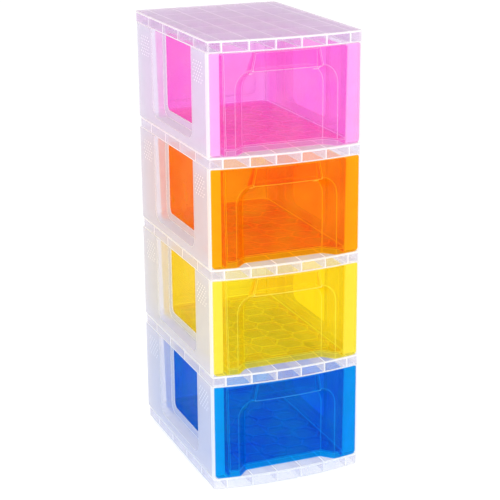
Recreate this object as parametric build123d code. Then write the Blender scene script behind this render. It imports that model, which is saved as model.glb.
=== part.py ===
from build123d import *
import math
import os

# Four-drawer storage tower: a clear carcase of clip-together mouldings round four one-piece drawers.
# Millimetres. +Z is up, the drawer fronts face -Y, and the tower stands on Z = 0, centred on X and Y.

# Overall
tower_width = 300.0
tower_depth = 420.0
tower_height = 860.0
drawer_names = ["drawer_blue", "drawer_yellow", "drawer_orange", "drawer_pink"]
front_bow = 14.0            # how far the middle of the front bulges beyond its corners
lid_overhang = 12.0         # how far the lid reaches behind the carcase

# Shelves and lid
rim_height = 22.0
rim_wall = 2.2
deck_thickness = 2.0
rib_thickness = 1.6
ribs_across = 6
rib_spacing_x = 50.0
ribs_deep = 4
rib_spacing_y = 84.0
front_corner_radius = 4.0
back_corner_radius = 10.0

# Side panels
panel_depth = 26.0          # from the outer face to the face beside the drawer
panel_skin = 2.5
panel_wall = 2.0
post_width = 85.0
front_fin = 11.0            # the skin alone, in front of the post, beside the drawer front
sill_height = 16.0          # the ledge outside the window, above the shelf
sill_upstand = 14.0         # the window's lower edge above that ledge
window_inset = 14.0         # the window's edge inside the recess, front and back
recess_corner_radius = 22.0
window_corner_radius = 12.0

# Back panels
back_panel_depth = 10.0
back_panel_skin = 2.0
back_border = 26.0
back_field_radius = 12.0

# Lugs that locate the panels in the shelves
lug_width = 28.0
lug_thickness = 2.2
lug_height_up = 8.0
lug_height_down = 6.0
lug_clearance = 0.3

# Drawers
slide_gap = 0.3             # under the drawer, where it rests on the shelf
front_top_gap = 0.7
front_side_gap = 0.5
front_setback = 1.0         # the drawer front behind the rim's edge
tub_side_gap = 1.5
tub_top_drop = 5.5          # the tub's edge below the next shelf
tub_back_gap = 2.5
draft = 3.0                 # the tub is narrower by this on each side at the bottom
front_plate = 2.5
tub_wall = 2.0
floor_drop = 10.0           # the height of the skirt under the floor
floor_thickness = 2.4
tub_corner_radius = 18.0
front_top_radius = 4.0
front_foot_radius = 8.0

# Handle recess in the drawer front
recess_half_width = 99.0    # at the front face
recess_back_half = 78.0     # at the flat panel behind
recess_depth = 27.0         # from the bowed front to the flat panel, on the centre line
recess_inner_radius = 8.0   # where the recess walls meet it
recess_fold_radius = 6.0    # where the front face folds into the recess
lip_height = 36.0
lip_corner_radius = 36.0    # the recess's upper corners
pocket_half_width = 68.0    # the finger pocket behind the lip, at its mouth
pocket_top_half = 61.0
pocket_top_depth = 12.0
pocket_roof = 3.0

# Honeycomb under the drawer floor
comb_apothem = 25.0
comb_rib = 1.6
comb_height = 4.0

edge_margin = 0.05          # tolerance for picking edges by where they lie

# Worked out from the sizes above
half_width = tower_width / 2
front_edge = -tower_depth / 2
corner_edge = front_edge + front_bow
lid_back = tower_depth / 2
back_edge = lid_back - lid_overhang
level_pitch = (tower_height - rim_height) / len(drawer_names)
bow_radius = (half_width ** 2 + front_bow ** 2) / (2 * front_bow)
bow_centre = front_edge + bow_radius
panel_height = level_pitch - rim_height
panel_inner = half_width - panel_depth
recess_front = corner_edge + post_width
recess_rear = back_edge - post_width
lug_outer = half_width - rim_wall - lug_clearance
post_front = corner_edge + front_fin
drawer_height = panel_height - slide_gap - front_top_gap
tub_height = panel_height - slide_gap - tub_top_drop


def bow_y(x, inset=0.0):
    """Y of the bowed front at x, moved back by inset."""
    return bow_centre - math.sqrt((bow_radius - inset) ** 2 - x ** 2)


def bow_line(half, inset=0.0):
    return ThreePointArc(
        (-half, bow_y(half, inset)), (0, bow_y(0, inset)), (half, bow_y(half, inset))
    )


def behind_bow(half, inset, rear):
    """Face from the bowed front, moved back by inset, to the straight line y = rear."""
    front = bow_line(half, inset)
    sides = Polyline(front @ 1, (half, rear), (-half, rear), front @ 0)
    return make_face([front, sides])


def span_box(x0, x1, y0, y1, z0, z1):
    box = Box(x1 - x0, y1 - y0, z1 - z0)
    return Pos((x0 + x1) / 2, (y0 + y1) / 2, (z0 + z1) / 2) * box


# Shelves and lid ---------------------------------------------------------------------------

def rim_outline(rear):
    outline = behind_bow(half_width, 0.0, rear)
    outline = fillet(outline.vertices().sort_by(Axis.Y)[:2], front_corner_radius)
    return fillet(outline.vertices().sort_by(Axis.Y)[-2:], back_corner_radius)


def centred(count, spacing):
    """Places of evenly spaced copies, centred on zero."""
    return [(i - (count - 1) / 2) * spacing for i in range(count)]


def rib_grid(rib_rows):
    grid = Sketch()
    for x in centred(ribs_across, rib_spacing_x):
        grid += Pos(x, 0) * Rectangle(rib_thickness, 2 * tower_depth)
    for y in rib_rows:
        grid += Pos(0, y) * Rectangle(2 * tower_width, rib_thickness)
    return grid


def lug_places():
    """Y of the lugs in the two posts of a side panel."""
    return [(post_front + recess_front) / 2, (recess_rear + back_edge) / 2]


def lug_slots():
    """Slots in a shelf's deck, one for each lug that stands on it."""
    grow = 2 * lug_clearance
    x = lug_outer - lug_thickness / 2
    slots = Sketch()
    for y in lug_places():
        for side in (-x, x):
            slots += Pos(side, y) * Rectangle(lug_thickness + grow, lug_width + grow)
    back_y = back_edge - rim_wall - lug_clearance - lug_thickness / 2
    slots += Pos(0, back_y) * Rectangle(lug_width + grow, lug_thickness + grow)
    return slots


def rimmed_plate(rear, rib_rows):
    """A flat deck with a rim all round and a grid of ribs under it."""
    outline = rim_outline(rear)
    inside = offset(outline, -rim_wall)
    cells = inside - rib_grid(rib_rows)
    return extrude(outline, rim_height) - extrude(cells, rim_height - deck_thickness)


def make_shelf():
    deck_bottom = rim_height - deck_thickness
    plate = rimmed_plate(back_edge, centred(ribs_deep, rib_spacing_y))
    return plate - Pos(0, 0, deck_bottom) * extrude(lug_slots(), deck_thickness)


def make_lid():
    """The lid has one more rib, which closes the top of the carcase over the back panel."""
    closing_rib = back_edge - back_panel_depth + back_panel_skin
    return rimmed_plate(lid_back, centred(ribs_deep, rib_spacing_y) + [closing_rib])


# Side panels: built on the left, with Z = 0 at the shelf's deck ------------------------------

def side_face(y0, y1, z0, z1):
    """Rectangle in the YZ plane."""
    return Plane.YZ * Pos((y0 + y1) / 2, (z0 + z1) / 2) * Rectangle(y1 - y0, z1 - z0)


def arch_face(y0, y1, floor, radius):
    """Rectangle in the YZ plane with round lower corners, open past the panel's top."""
    top = panel_height + radius
    face = Pos((y0 + y1) / 2, (floor + top) / 2) * Rectangle(y1 - y0, top - floor)
    return Plane.YZ * fillet(face.vertices().sort_by(Axis.Y)[:2], radius)


def recess_face(grow):
    return arch_face(
        recess_front - grow, recess_rear + grow, sill_height - grow, recess_corner_radius + grow
    )


def window_face():
    return arch_face(
        recess_front + window_inset,
        recess_rear - window_inset,
        sill_height + sill_upstand,
        window_corner_radius,
    )


def along_x(face, x0, x1):
    return Pos(x0, 0, 0) * extrude(face, x1 - x0, dir=(1, 0, 0))


def make_left_panel():
    skin_inner = -half_width + panel_skin
    panel = span_box(-half_width, -panel_inner, corner_edge, back_edge, 0, panel_height)
    panel -= span_box(skin_inner, 0, corner_edge - 1, post_front, -1, panel_height + 1)
    inside = side_face(
        post_front + panel_wall, back_edge - panel_wall, panel_wall, panel_height - panel_wall
    )
    inside -= recess_face(panel_wall)
    for y in centred(2, rib_spacing_y):
        inside -= side_face(y - rib_thickness / 2, y + rib_thickness / 2, 0, panel_height)
    panel -= along_x(inside, skin_inner, 0)
    panel -= along_x(recess_face(0), -half_width - 1, -panel_inner - panel_wall)
    panel -= along_x(window_face(), -half_width - 1, 0)
    for y in lug_places():
        panel += span_box(
            -lug_outer, -lug_outer + lug_thickness,
            y - lug_width / 2, y + lug_width / 2,
            -lug_height_down, panel_wall,
        )
        panel += span_box(
            -lug_outer, -lug_outer + lug_thickness,
            y - lug_width / 2, y + lug_width / 2,
            panel_height - panel_wall, panel_height + lug_height_up,
        )
    return panel


# Back panels, with Z = 0 at the shelf's deck -------------------------------------------------

def make_back_panel():
    half = panel_inner
    inner = back_edge - back_panel_depth
    panel = span_box(-half, half, inner, back_edge, 0, panel_height)
    field = Pos(0, panel_height / 2) * RectangleRounded(
        2 * (half - back_border), panel_height - 2 * back_border, back_field_radius
    )
    field_grown = offset(field, back_panel_skin)
    rim = Pos(0, panel_height / 2) * Rectangle(
        2 * (half - back_panel_skin), panel_height - 2 * back_panel_skin
    )
    front_view = Plane.XZ
    hollow = extrude(front_view * (rim - field_grown), back_panel_depth - back_panel_skin, dir=(0, 1, 0))
    panel -= Pos(0, inner, 0) * hollow
    dish = extrude(front_view * field, back_panel_depth - back_panel_skin, dir=(0, 1, 0))
    panel -= Pos(0, inner + back_panel_skin, 0) * dish
    lug_rear = back_edge - rim_wall - lug_clearance
    for z0, z1 in (
        (-lug_height_down, back_panel_skin),
        (panel_height - back_panel_skin, panel_height + lug_height_up),
    ):
        panel += span_box(-lug_width / 2, lug_width / 2, lug_rear - lug_thickness, lug_rear, z0, z1)
    return panel


# Drawers, with Z = 0 at the drawer's foot ----------------------------------------------------

tub_half = panel_inner - tub_side_gap
tub_back = back_edge - back_panel_depth - tub_back_gap
recess_panel = front_edge + front_setback + recess_depth
lip_bottom = drawer_height - lip_height
floor_top = floor_drop + floor_thickness
ahead = front_edge - front_bow


def both_sides(right_half):
    """A solid that reaches past X = 0, cut to the same shape on the left."""
    return right_half & mirror(right_half, Plane.YZ)


def tub_corner(inset, z):
    """Plan of the tub's right rear corner at one height, open to the left and past the front."""
    inset += draft * (1 - z / tub_height)
    half = tub_half - inset
    rear = tub_back - inset
    face = Pos(0, (ahead + rear) / 2, z) * Rectangle(2 * tower_width, rear - ahead)
    face = Pos(half - tower_width, 0, 0) * face
    corner = face.vertices().sort_by(Axis.Y)[-2:].sort_by(Axis.X)[-1]
    return fillet(corner, tub_corner_radius)


def tub_block(inset, z0, z1):
    """The tub's drafted outside, or its inside when inset by the wall, between two heights."""
    spread = draft * (z1 - z0) / tub_height
    return both_sides(Solid.extrude(tub_corner(inset, z0).face(), (spread, spread, z1 - z0)))


def recess_block(grow):
    """The handle recess: its sides close in from the bowed front to the flat panel behind."""
    mouth_y = bow_y(recess_half_width, front_setback)
    flare = (recess_half_width - recess_back_half) / (recess_panel - mouth_y)
    panel_y = recess_panel + grow
    deep = panel_y - ahead
    half = recess_back_half + grow + flare * deep
    top = lip_bottom + grow
    face = Pos(half - tower_width, (top - floor_drop) / 2) * Rectangle(
        2 * tower_width, top + floor_drop
    )
    corner = face.vertices().sort_by(Axis.Y)[-2:].sort_by(Axis.X)[-1]
    face = Pos(0, ahead, 0) * (Plane.XZ * fillet(corner, lip_corner_radius))
    return both_sides(Solid.extrude(face.face(), (-flare * deep, deep, 0)))


def soften_recess(block):
    """Round the edges where the recess walls meet the flat panel."""
    behind = [
        edge for edge in block.faces().sort_by(Axis.Y)[-1].edges()
        if edge.center().Z > edge_margin
    ]
    return fillet(behind, recess_inner_radius)


def fold_recess(front):
    """Round the edge where the bowed face folds into the recess."""
    def on_mouth(edge):
        points = [edge @ share for share in (0.1, 0.5, 0.9)]
        on_bow = all(abs(p.Y - bow_y(p.X, front_setback)) < edge_margin for p in points)
        within = all(abs(p.X) < recess_half_width + 1 for p in points)
        return on_bow and within and edge_margin < points[1].Z < lip_bottom + 1

    return fillet([edge for edge in front.edges() if on_mouth(edge)], recess_fold_radius)


def pocket_block(grow):
    """The finger pocket behind the lip: it narrows and comes forward as it rises."""
    mouth_low = lip_bottom - recess_inner_radius
    top_z = drawer_height - pocket_roof + grow
    top_y = front_edge + front_setback + front_plate + pocket_top_depth

    def section(half, rear, z):
        face = Rectangle(2 * (half + grow), rear + grow - ahead)
        return Pos(0, (ahead + rear + grow) / 2, z) * face

    mouth = section(pocket_half_width, recess_panel, 0)
    wedge = Pos(0, 0, mouth_low) * extrude(mouth, lip_bottom - mouth_low)
    wedge += loft([Pos(0, 0, lip_bottom) * mouth, section(pocket_top_half, top_y, top_z)])
    behind_lip = extrude(behind_bow(tub_half, front_setback + front_plate, tub_back), tower_height)
    return wedge & behind_lip


def front_block():
    """The bowed front plate with its round corners."""
    half = half_width - panel_skin - front_side_gap
    back = bow_y(half, front_setback + front_plate)
    strip = behind_bow(half, front_setback, back + 1) - behind_bow(
        half + 1, front_setback + front_plate, back + 2
    )
    view = Pos(0, drawer_height / 2) * Rectangle(2 * half, drawer_height)
    view = fillet(view.vertices().sort_by(Axis.Y)[:2], front_foot_radius)
    view = fillet(view.vertices().sort_by(Axis.Y)[-2:], front_top_radius)
    outline = Pos(0, ahead, 0) * extrude(Plane.XZ * view, tower_depth, dir=(0, 1, 0))
    return extrude(strip, drawer_height) & outline


def foot_hollow():
    """Plan of the open space under the floor, inside the skirt."""
    behind_plate = behind_bow(tub_half, front_setback + front_plate, tub_back)
    inside = tub_block(tub_wall, -floor_drop, floor_drop) - recess_block(tub_wall)
    return section(inside, section_by=Plane.XY) & behind_plate


def honeycomb(hollow):
    """Plan of the honeycomb ribs: every whole cell that fits in the hollow."""
    columns = 2 * math.ceil(tub_half / (2 * comb_apothem)) + 1
    rows = 2 * math.ceil(tub_back / (2 * comb_apothem)) + 1
    outer = RegularPolygon(comb_apothem + comb_rib / 2, 6, major_radius=False)
    inner = RegularPolygon(comb_apothem - comb_rib / 2, 6, major_radius=False)
    spots = [
        spot for spot in HexLocations(comb_apothem, columns, rows, major_radius=False)
        if (spot * outer - hollow).area < edge_margin
    ]
    return (Sketch() + [spot * outer for spot in spots]) - [spot * inner for spot in spots]


def make_drawer():
    behind_front = extrude(behind_bow(tub_half, front_setback, tub_back + 1), tower_height)
    behind_plate = extrude(
        behind_bow(tub_half, front_setback + front_plate, tub_back + 1), tower_height
    )
    front = front_block()
    drawer = front + (tub_block(0, 0, tub_height) & behind_front)
    drawer = fold_recess(drawer - soften_recess(recess_block(0)))
    over_recess = span_box(
        -pocket_half_width, pocket_half_width, ahead, tub_back, lip_bottom, drawer_height
    )
    drawer += front & over_recess
    drawer += pocket_block(tub_wall) & behind_front & over_recess
    drawer -= pocket_block(0)
    inside = tub_block(tub_wall, floor_top, tub_height + rim_height) & behind_plate
    drawer -= inside - recess_block(tub_wall) - pocket_block(tub_wall)
    hollow = foot_hollow()
    drawer -= extrude(hollow, floor_drop)
    return drawer + Pos(0, 0, floor_drop - comb_height) * extrude(honeycomb(hollow), comb_height)


# The tower -----------------------------------------------------------------------------------

os.makedirs("parts", exist_ok=True)


def save(solid, name):
    export_step(solid, f"parts/{name}.step")


shelf = make_shelf()
left_panel = make_left_panel()
right_panel = mirror(left_panel, Plane.YZ)
back_panel = make_back_panel()
drawer = make_drawer()

for level, drawer_name in enumerate(drawer_names):
    floor = level * level_pitch
    deck = floor + rim_height
    shelf_name = "base_shelf" if level == 0 else f"middle_shelf_{level}"
    save(Pos(0, 0, floor) * shelf, shelf_name)
    save(Pos(0, 0, deck) * left_panel, f"side_panel_left_{level + 1}")
    save(Pos(0, 0, deck) * right_panel, f"side_panel_right_{level + 1}")
    save(Pos(0, 0, deck) * back_panel, f"back_panel_{level + 1}")
    save(Pos(0, 0, deck + slide_gap) * drawer, drawer_name)

save(Pos(0, 0, tower_height - rim_height) * make_lid(), "top_lid")
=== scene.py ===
import math

import bpy
import numpy as np
from mathutils import Matrix

# Four-drawer storage tower. Metres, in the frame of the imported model: +Z is up, the drawers open
# towards -Y. The mouldings come from the frame as they are; here they get their plastics, and a
# floor, light and camera.

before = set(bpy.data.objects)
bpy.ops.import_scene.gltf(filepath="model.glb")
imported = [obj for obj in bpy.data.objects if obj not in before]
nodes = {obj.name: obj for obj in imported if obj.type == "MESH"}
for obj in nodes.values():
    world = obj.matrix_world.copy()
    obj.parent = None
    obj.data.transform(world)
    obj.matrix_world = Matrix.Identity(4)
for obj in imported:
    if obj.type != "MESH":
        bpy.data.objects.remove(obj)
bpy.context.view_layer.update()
print("frame loaded")

millimetre = 0.001


# Colour and node helpers

# sRGB hex to the linear values that Blender's sockets take.
def linearColour(hexText, alpha=1.0):
    parts = [int(hexText[i:i + 2], 16) / 255 for i in (1, 3, 5)]
    linear = [c / 12.92 if c <= 0.04045 else ((c + 0.055) / 1.055) ** 2.4 for c in parts]
    return (*linear, alpha)


# Adds a node: settings are its properties, inputs its socket values or the sockets that feed them.
def addNode(tree, kind, settings=None, inputs=None):
    node = tree.nodes.new(kind)
    for name, value in (settings or {}).items():
        setattr(node, name, value)
    for name, value in (inputs or {}).items():
        if isinstance(value, bpy.types.NodeSocket):
            tree.links.new(value, node.inputs[name])
        else:
            node.inputs[name].default_value = value
    return node


# Works a formula out in nodes: each step has a name, an operation, and the numbers or earlier names
# that it takes. The last step is the result.
def formulaValue(tree, known, steps):
    for name, operation, *terms in steps:
        inputs = {i: known[term] if isinstance(term, str) else float(term)
                  for i, term in enumerate(terms)}
        step = addNode(tree, "ShaderNodeMath", {"operation": operation}, inputs)
        known[name] = step.outputs["Value"]
    return known[name]


def newMaterial(name):
    material = bpy.data.materials.new(name)
    material.use_nodes = True
    material.node_tree.nodes.clear()
    return material


# Polypropylene, injection moulded. Polymer haze makes it milky: part of the light goes straight
# through a wall and takes its tint, the rest is scattered on both sides. A wall seen at a slant is
# thicker to the eye, so it is milkier and deeper in colour than one seen square on. Sharp moulded
# edges get a painted highlight: their colour is painted paler and their haze raised.

# Tint and haze are for one whole wall seen square on, which sight crosses by two surfaces. Radius
# in mm: how far the painted edge highlights reach.
carcasePlastic = {"edge": "#ffffff", "edgeHaze": 1.00, "roughness": 0.30, "gloss": 0.70}
drawerPlastic = {"haze": 0.16, "edgeHaze": 0.85, "edgeRadius": 2.0, "roughness": 0.18}

frostedPlastic = {
    # Light veil, so that the ribs, the floor of the level and the drawer below show through
    "shelf": {**carcasePlastic, "name": "frosted clear polypropylene",
              "tint": "#fcfcff", "body": "#e3e2ee", "haze": 0.38, "edgeRadius": 3.0},
    # Almost clear, with a little painted rosy light from the pink drawer below, and broad white
    # painted highlights on the rims
    "top_lid": {**carcasePlastic, "name": "thin frosted clear polypropylene",
                "tint": "#f8f0fa", "body": "#e4d9e8", "haze": 0.16, "edgeRadius": 3.6},
    # Milky posts and sills round the open windows, which take some colour from the drawers
    "side_panel": {**carcasePlastic, "name": "milky clear polypropylene",
                   "tint": "#fcfcff", "body": "#e2e2ee", "haze": 0.60, "edgeRadius": 2.2},
    # Pale plates that show each drawer's colour as through fog
    "back_panel": {**carcasePlastic, "name": "thin milky polypropylene", "edgeHaze": 0.90,
                   "tint": "#fcfcff", "body": "#e2e2ee", "haze": 0.50, "edgeRadius": 1.6},
    # Candy pink, deep where sight crosses many walls, pale along the front's thin outer strips,
    # through which the painted light on the posts' front walls shows
    "drawer_pink": {**drawerPlastic, "name": "pink translucent polypropylene",
                    "tint": "#ffc3f9", "body": "#ffaeca", "edge": "#ffe6f8", "gloss": 0.25},
    # Warm orange that turns to amber in the strips
    "drawer_orange": {**drawerPlastic, "name": "orange translucent polypropylene",
                      "tint": "#ffba0c", "body": "#ffca12", "edge": "#ffdc50", "gloss": 0.20},
    # Clear lemon yellow, through which the honeycomb under the floor is plain to see
    "drawer_yellow": {**drawerPlastic, "name": "yellow translucent polypropylene",
                      "tint": "#ffee64", "body": "#ffff34", "edge": "#ffffa8", "gloss": 0.25},
    # Strong blue that goes to sky blue in the strips
    "drawer_blue": {**drawerPlastic, "name": "blue translucent polypropylene",
                    "tint": "#04b2fa", "body": "#04aebe", "edge": "#70c8ff", "gloss": 0.18},
}
mouldedSurface = {
    "ior": 1.49,
    "grainSize": 0.6,       # mm between the grains of the etched mould
    "grainDepth": 0.010,    # mm
    "flowSize": 55.0,       # mm across the clouds left where the plastic flowed
    "flowChange": 0.06,     # how much those clouds change the haze
    # The edges' pale colour is a painted highlight.
    "edgeTurn": 0.96,       # cosine between true and rounded normal at which an edge is fully pale
    "scatterThrough": 0.5,  # share of scattered light that leaves on the far side
    "tintOnward": 0.30,     # how much of the tint colours the light that goes on behind
    "steepest": 0.16,       # cosine of the slant past which a wall gets no thicker to the eye
    "slantPower": 0.8,      # how fast it gets thicker
}


# The place of the surface in millimetres, as X, Y and Z, and how squarely it faces each way, as
# acrossX, acrossY and upZ.
def placeAndFacing(tree):
    spot = addNode(tree, "ShaderNodeTexCoord").outputs["Object"]
    spot = addNode(tree, "ShaderNodeVectorMath", {"operation": "MULTIPLY"}, {
        0: spot, 1: (1 / millimetre, 1 / millimetre, 1 / millimetre)})
    spot = addNode(tree, "ShaderNodeSeparateXYZ", None, {"Vector": spot.outputs["Vector"]})
    way = addNode(tree, "ShaderNodeNewGeometry").outputs["Normal"]
    way = addNode(tree, "ShaderNodeVectorMath", {"operation": "ABSOLUTE"}, {0: way})
    way = addNode(tree, "ShaderNodeSeparateXYZ", None, {"Vector": way.outputs["Vector"]})
    return {"X": spot.outputs["X"], "Y": spot.outputs["Y"], "Z": spot.outputs["Z"],
            "acrossX": way.outputs["X"], "acrossY": way.outputs["Y"], "upZ": way.outputs["Z"]}


levelStep = 209.5      # mm from one level's foot to the next

# Side panels: painted light fills the posts' front walls, which are painted white and milky, and
# the small grip dots on the outer faces are painted pale like the edges.

postDotsAndPaintedLight = {
    "paintedLightFrom": -184.0,      # mm along Y: the front walls are in front of this
    "dotHeight": 170.0,       # mm above a level's foot, to the middle row
    "columnStep": 11.5,
    "rowStep": 6.0,
    "columns": 5,
    "rows": 7,
    "shortRows": 0.6,         # columns by which the block is cut in, so that odd rows end inside
    "middle": 3.0,            # mm along Y, halfway between the dots of the front and rear post
    "fromMiddle": 148.0,
    "radius": 1.5,
    "outside": 148.5,         # mm along X, past which a face is an outer one
}


# Rows of dots one step apart, every other row half a column along: inside a dot, the distance to
# the nearest point of that grid is under the radius.
def panelDotsAndPaintedLight(tree, values):
    blockHalf = (values["columns"] - values["shortRows"]) / 2 * values["columnStep"]
    return formulaValue(tree, placeAndFacing(tree), [
        # Painted light: everything in front of paintedLightFrom, that is the posts' front walls, is
        # painted white
        ("paintedLight", "LESS_THAN", "Y", values["paintedLightFrom"]),
        ("fromMiddle", "SUBTRACT", "Y", values["middle"]),
        ("fromMiddle", "ABSOLUTE", "fromMiddle"),
        ("along", "SUBTRACT", "fromMiddle", values["fromMiddle"]),
        ("inLevel", "FLOORED_MODULO", "Z", levelStep),
        ("up", "SUBTRACT", "inLevel", values["dotHeight"]),
        ("rowPlace", "DIVIDE", "up", values["rowStep"]),
        ("row", "ROUND", "rowPlace"),
        ("odd", "FLOORED_MODULO", "row", 2),
        ("columnPlace", "DIVIDE", "along", values["columnStep"]),
        ("columnPlace", "MULTIPLY_ADD", "odd", 0.5, "columnPlace"),
        ("column", "ROUND", "columnPlace"),
        ("aside", "SUBTRACT", "columnPlace", "column"),
        ("aside", "MULTIPLY", "aside", values["columnStep"]),
        ("above", "SUBTRACT", "rowPlace", "row"),
        ("above", "MULTIPLY", "above", values["rowStep"]),
        ("aboveSquared", "MULTIPLY", "above", "above"),
        ("distance", "MULTIPLY_ADD", "aside", "aside", "aboveSquared"),
        ("dot", "LESS_THAN", "distance", values["radius"] ** 2),
        ("fromPost", "ABSOLUTE", "along"),
        ("inColumns", "LESS_THAN", "fromPost", blockHalf),
        ("fromRow", "ABSOLUTE", "up"),
        ("inRows", "LESS_THAN", "fromRow", values["rows"] / 2 * values["rowStep"]),
        ("fromCentre", "ABSOLUTE", "X"),
        ("outer", "GREATER_THAN", "fromCentre", values["outside"]),
        ("dot", "MULTIPLY", "dot", "inColumns"),
        ("dot", "MULTIPLY", "dot", "inRows"),
        ("dot", "MULTIPLY", "dot", "outer"),
        ("paintedMarks", "MAXIMUM", "paintedLight", "dot"),
    ])


# Shelves and lid: painted highlight lines where a rib meets the deck or the rim, and painted
# highlight bands where the deck meets the rim; the plastic is also thicker there.

shelfPaintedHighlights = {
    "ribStepX": 50.0,         # mm
    "ribStartX": 25.0,
    "ribStepY": 84.0,
    "ribStartY": 42.0,
    "ribReachY": 160.0,
    "ribHalf": 1.2,
    "rimX": 145.0,            # mm from the middle, past which a face is the rim's
    "rimY": 188.0,
    "bandFrom": 18.4,         # mm above the shelf's foot
    "footTo": 1.6,
    "levelFrom": 0.7,         # a face whose normal has this much of Z, or more, is level
    "uprightTo": 0.3,         # and one with less than this is upright
    # How strongly the painted rib highlights show on a shelf's deck and on the lid's
    "deckShare": 0.60,        # how strongly ribs show through a shelf's deck
    "lidShare": 0.24,         # and through the lid's
}


# A rib's painted highlight line is where the distance to the nearest multiple of the rib step is
# under half the rib's thickness. On the rim the painted lines stand where ribs end in it, with a
# painted highlight band at its top and its foot.
def ribPaintedHighlights(tree, values, share):
    steps = []
    for axis in "XY":
        ribStep = values["ribStep" + axis]
        steps += [
            ("place", "ADD", axis, values["ribStart" + axis]),
            ("place", "DIVIDE", "place", ribStep),
            ("nearest", "ROUND", "place"),
            ("off", "SUBTRACT", "place", "nearest"),
            ("off", "ABSOLUTE", "off"),
            ("line" + axis, "LESS_THAN", "off", values["ribHalf"] / ribStep),
            ("reach" + axis, "ABSOLUTE", axis),
            ("rim" + axis, "GREATER_THAN", "reach" + axis, values["rim" + axis]),
        ]
    steps += [
        ("inReach", "LESS_THAN", "reachY", values["ribReachY"]),
        ("lineY", "MULTIPLY", "lineY", "inReach"),
        ("frontLine", "MULTIPLY", "lineX", "rimY"),
        ("frontLine", "MULTIPLY", "frontLine", "acrossY"),
        ("sideLine", "MULTIPLY", "lineY", "rimX"),
        ("sideLine", "MULTIPLY", "sideLine", "acrossX"),
        ("rimLine", "MAXIMUM", "frontLine", "sideLine"),
        ("deckLine", "MAXIMUM", "lineX", "lineY"),
        ("level", "GREATER_THAN", "upZ", values["levelFrom"]),
        ("deckLine", "MULTIPLY", "deckLine", "level"),
        ("deckLine", "MULTIPLY", "deckLine", share),
        ("rim", "MAXIMUM", "rimX", "rimY"),
        ("inLevel", "FLOORED_MODULO", "Z", levelStep),
        ("band", "GREATER_THAN", "inLevel", values["bandFrom"]),
        ("foot", "LESS_THAN", "inLevel", values["footTo"]),
        ("band", "MAXIMUM", "band", "foot"),
        ("upright", "LESS_THAN", "upZ", values["uprightTo"]),
        ("band", "MULTIPLY", "band", "upright"),
        ("band", "MULTIPLY", "band", "rim"),
        ("paintedMarks", "MAXIMUM", "rimLine", "deckLine"),
        ("paintedMarks", "MAXIMUM", "paintedMarks", "band"),
    ]
    return formulaValue(tree, placeAndFacing(tree), steps)


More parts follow.
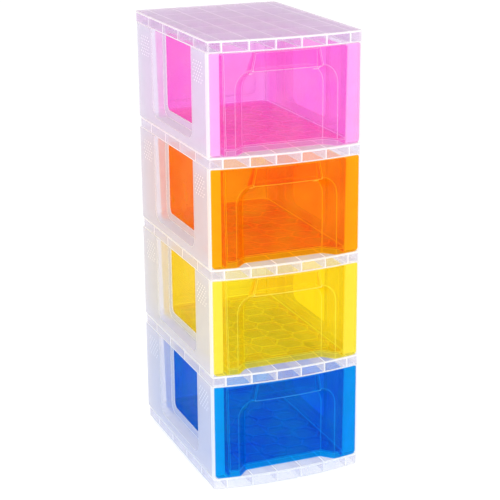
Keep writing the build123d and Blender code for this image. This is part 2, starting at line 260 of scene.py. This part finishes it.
def frostedMaterial(values, paintedMarks):
    material = newMaterial(values["name"])
    tree = material.node_tree
    place = addNode(tree, "ShaderNodeTexCoord").outputs["Object"]
    flow = addNode(tree, "ShaderNodeTexNoise", None, {
        "Vector": place, "Scale": 1 / (mouldedSurface["flowSize"] * millimetre), "Detail": 2.0})
    grain = addNode(tree, "ShaderNodeTexNoise", None, {
        "Vector": place, "Scale": 1 / (mouldedSurface["grainSize"] * millimetre), "Detail": 1.0})

    # Painted highlight: an edge is where the normal turns when the corners nearby are rounded off,
    # and there the colour is painted paler and the haze raised
    rounded = addNode(tree, "ShaderNodeBevel", {"samples": 4}, {
        "Radius": values["edgeRadius"] * millimetre})
    flat = addNode(tree, "ShaderNodeNewGeometry")
    agree = addNode(tree, "ShaderNodeVectorMath", {"operation": "DOT_PRODUCT"}, {
        0: rounded.outputs["Normal"], 1: flat.outputs["Normal"]})
    edge = addNode(tree, "ShaderNodeMapRange", None, {
        "Value": agree.outputs["Value"], "From Min": 1.0, "From Max": mouldedSurface["edgeTurn"],
        "To Min": 0.0, "To Max": 1.0}).outputs["Result"]
    # The painted marks join the edges: painted highlights on ribs and rims, painted light on the
    # posts' front walls, and the grip dots painted pale
    if paintedMarks:
        edge = formulaValue(tree, {"edge": edge, "paintedMarks": paintedMarks(tree)}, [
            ("edge", "MAXIMUM", "edge", "paintedMarks")])

    # Half the wall's thickness belongs to each surface: depth is (1 / cosine of the slant) ^ power
    # / 2. What passes is (1 - haze) ^ depth, changed by the clouds, and the tint is tint ^ depth.
    facing = addNode(tree, "ShaderNodeLayerWeight", None, {"Blend": 0.5})
    cosine = addNode(tree, "ShaderNodeMapRange", None, {
        "Value": facing.outputs["Facing"], "From Max": 1 - mouldedSurface["steepest"],
        "To Min": 1.0, "To Max": mouldedSurface["steepest"]})
    cloud = addNode(tree, "ShaderNodeMapRange", None, {
        "Value": flow.outputs["Fac"], "From Min": 0.3, "From Max": 0.7,
        "To Min": 1 + mouldedSurface["flowChange"], "To Max": 1 - mouldedSurface["flowChange"]})
    known = {"cosine": cosine.outputs["Result"], "cloud": cloud.outputs["Result"]}
    milky = formulaValue(tree, known, [
        ("depth", "POWER", "cosine", -mouldedSurface["slantPower"]),
        ("depth", "DIVIDE", "depth", 2),
        ("passed", "POWER", 1 - values["haze"], "depth"),
        ("passed", "MULTIPLY", "passed", "cloud"),
        ("milky", "SUBTRACT", 1, "passed"),
    ])
    share = addNode(tree, "ShaderNodeMath", {"operation": "MULTIPLY_ADD", "use_clamp": True}, {
        0: edge, 1: values["edgeHaze"], 2: milky})
    tint = addNode(tree, "ShaderNodeGamma", None, {
        "Color": linearColour(values["tint"]), "Gamma": known["depth"]})

    # The body colour turns to the pale highlight colour wherever the painted highlight lies
    colour = addNode(tree, "ShaderNodeMix", {"data_type": "RGBA"}, {
        0: edge, 6: linearColour(values["body"]), 7: linearColour(values["edge"])}).outputs[2]
    bump = addNode(tree, "ShaderNodeBump", None, {
        "Height": grain.outputs["Fac"], "Distance": mouldedSurface["grainDepth"] * millimetre,
        "Normal": rounded.outputs["Normal"]}).outputs["Normal"]
    near = addNode(tree, "ShaderNodeBsdfDiffuse", None, {"Color": colour, "Normal": bump})
    far = addNode(tree, "ShaderNodeBsdfTranslucent", None, {"Color": colour, "Normal": bump})
    scatter = addNode(tree, "ShaderNodeMixShader", None, {
        0: mouldedSurface["scatterThrough"], 1: near.outputs["BSDF"], 2: far.outputs["BSDF"]})
    clear = addNode(tree, "ShaderNodeBsdfTransparent", None, {"Color": tint.outputs["Color"]})
    wall = addNode(tree, "ShaderNodeMixShader", None, {
        0: share.outputs["Value"], 1: clear.outputs["BSDF"], 2: scatter.outputs["Shader"]})

    # Gloss by Fresnel on the outer side of each surface alone
    shine = addNode(tree, "ShaderNodeBsdfAnisotropic", None, {
        "Roughness": values["roughness"], "Normal": bump})
    fresnel = addNode(tree, "ShaderNodeFresnel", None, {
        "IOR": mouldedSurface["ior"], "Normal": bump})
    outside = addNode(tree, "ShaderNodeMapRange", None, {
        "Value": flat.outputs["Backfacing"], "To Min": values["gloss"], "To Max": 0.0})
    mirror = formulaValue(tree, {
        "fresnel": fresnel.outputs["Fac"], "outside": outside.outputs["Result"]}, [
        ("mirror", "MULTIPLY", "fresnel", "outside")])
    glossy = addNode(tree, "ShaderNodeMixShader", None, {
        0: mirror, 1: wall.outputs["Shader"], 2: shine.outputs["BSDF"]})

    # Haze throws light mostly onwards and round the walls, so that what lies behind them is lit as
    # if by hardly tinted windows
    rays = addNode(tree, "ShaderNodeLightPath").outputs
    onward = formulaValue(tree, {
        "shadow": rays["Is Shadow Ray"], "light": rays["Is Diffuse Ray"]}, [
        ("onward", "MAXIMUM", "shadow", "light")])
    window = addNode(tree, "ShaderNodeBsdfTransparent", None, {
        "Color": [1 + (c - 1) * mouldedSurface["tintOnward"]
                  for c in linearColour(values["tint"])]})
    whole = addNode(tree, "ShaderNodeMixShader", None, {
        0: onward, 1: glossy.outputs["Shader"], 2: window.outputs["BSDF"]})
    addNode(tree, "ShaderNodeOutputMaterial", None, {"Surface": whole.outputs["Shader"]})
    return material


markedPieces = {
    "shelf": lambda tree: ribPaintedHighlights(tree, shelfPaintedHighlights, shelfPaintedHighlights["deckShare"]),
    "top_lid": lambda tree: ribPaintedHighlights(tree, shelfPaintedHighlights, shelfPaintedHighlights["lidShare"]),
    "side_panel": lambda tree: panelDotsAndPaintedLight(tree, postDotsAndPaintedLight),
}
finishes = {kind: frostedMaterial(values, markedPieces.get(kind))
            for kind, values in frostedPlastic.items()}
for name, piece in nodes.items():
    kind = next(kind for kind in finishes if kind in name)
    for slot in piece.material_slots:
        slot.material = finishes[kind]
print("plastics made for", len(nodes), "mouldings")


# Floor, light and camera

studio = {
    "floorColour": "#f4f4f6",
    "floorGlow": 0.35,          # only for the eye, so that the floor is white up to the sky
    "floorReach": 12.0,         # metres each way
    "skyLight": 0.80,
    "lampAim": (0, 0, 0.43),
    "keySize": 1.0,
    "keyPower": 19.0,
    "keyPlace": (-1.3, -1.8, 1.0),
    "fillSize": 2.0,
    "fillPower": 18.0,
    "fillPlace": (1.8, -2.4, 1.2),
    "clearCrossings": 40,       # clear surfaces that sight may cross, one behind another
    "bounces": 12,
}


# 1 for rays that end at the eye, straight or by a reflection or through glass, and 0 for others.
def seenByEye(tree):
    rays = addNode(tree, "ShaderNodeLightPath").outputs
    known = {"straight": rays["Is Camera Ray"], "mirrored": rays["Is Glossy Ray"],
             "bent": rays["Is Transmission Ray"]}
    return formulaValue(tree, known, [
        ("seen", "MAXIMUM", "straight", "mirrored"),
        ("seen", "MAXIMUM", "seen", "bent"),
    ])


# A flat square, white to the eye, that takes the object's shadow.
def makeFloor():
    reach = studio["floorReach"]
    mesh = bpy.data.meshes.new("studio_floor")
    mesh.from_pydata([(-reach, -reach, 0), (reach, -reach, 0), (reach, reach, 0),
                      (-reach, reach, 0)], [], [(0, 1, 2, 3)])
    floor = bpy.data.objects.new("studio_floor", mesh)
    bpy.context.scene.collection.objects.link(floor)

    material = newMaterial("white studio floor")
    tree = material.node_tree
    plain = addNode(tree, "ShaderNodeBsdfDiffuse", None, {
        "Color": linearColour(studio["floorColour"])})
    glow = addNode(tree, "ShaderNodeEmission", None, {
        "Color": (1, 1, 1, 1), "Strength": studio["floorGlow"]})
    both = addNode(tree, "ShaderNodeAddShader", None, {
        0: plain.outputs["BSDF"], 1: glow.outputs["Emission"]})
    pick = addNode(tree, "ShaderNodeMixShader", None, {
        0: seenByEye(tree), 1: plain.outputs["BSDF"], 2: both.outputs["Shader"]})
    addNode(tree, "ShaderNodeOutputMaterial", None, {"Surface": pick.outputs["Shader"]})
    floor.data.materials.append(material)


# Soft white light from all round, which the camera and reflections see as plain white.
def makeSky():
    world = bpy.data.worlds.new("studio sky")
    world.use_nodes = True
    tree = world.node_tree
    tree.nodes.clear()
    strength = addNode(tree, "ShaderNodeMapRange", None, {
        "Value": seenByEye(tree), "To Min": studio["skyLight"], "To Max": 1.0})
    sky = addNode(tree, "ShaderNodeBackground", None, {
        "Color": (1, 1, 1, 1), "Strength": strength.outputs["Result"]})
    addNode(tree, "ShaderNodeOutputWorld", None, {"Surface": sky.outputs["Background"]})
    bpy.context.scene.world = world


# Turns -Z from place to target, with +Y upwards.
def aimedMatrix(place, target):
    back = np.array(place, float) - np.array(target, float)
    back /= np.linalg.norm(back)
    right = np.cross((0, 0, 1), back)
    right /= np.linalg.norm(right)
    turned = np.eye(4)
    turned[:3] = np.column_stack([right, np.cross(back, right), back, place])
    return Matrix(turned.tolist())


def makeLamp(name, size, power, place):
    light = bpy.data.lights.new(name, "AREA")
    light.shape = "SQUARE"
    light.size = size
    light.energy = power
    lamp = bpy.data.objects.new(name, light)
    lamp.matrix_world = aimedMatrix(place, studio["lampAim"])
    lamp.visible_camera = False
    bpy.context.scene.collection.objects.link(lamp)


makeFloor()
makeSky()
makeLamp("key_lamp", studio["keySize"], studio["keyPower"], studio["keyPlace"])
makeLamp("fill_lamp", studio["fillSize"], studio["fillPower"], studio["fillPlace"])

cameraView = {
    "place": (-1.0566, -2.6315, 1.2940),
    "azimuth": -22.00,     # degrees
    "elevation": 17.41,
    "roll": -0.49,
    "focal": 1501.6,       # in pixels of the frame
    "frameWidth": 500,     # pixels
    "sensorWidth": 36.0,   # mm
}


def makeCamera(values):
    camera = bpy.data.cameras.new("photo camera")
    camera.sensor_width = values["sensorWidth"]
    camera.lens = values["focal"] / values["frameWidth"] * values["sensorWidth"]
    camera.clip_start = 0.1
    camera.clip_end = 50.0
    around, above, roll = (math.radians(values[key]) for key in ("azimuth", "elevation", "roll"))
    back = np.array([math.sin(around) * math.cos(above), -math.cos(around) * math.cos(above),
                     math.sin(above)])
    aimed = aimedMatrix(values["place"], np.array(values["place"]) - back)
    placed = bpy.data.objects.new("photo camera", camera)
    placed.matrix_world = aimed @ Matrix.Rotation(roll, 4, "Z")
    bpy.context.scene.collection.objects.link(placed)
    bpy.context.scene.camera = placed


makeCamera(cameraView)
scene = bpy.context.scene
scene.view_settings.view_transform = "Standard"
scene.cycles.transparent_max_bounces = studio["clearCrossings"]
scene.cycles.max_bounces = studio["bounces"]
print("studio made")
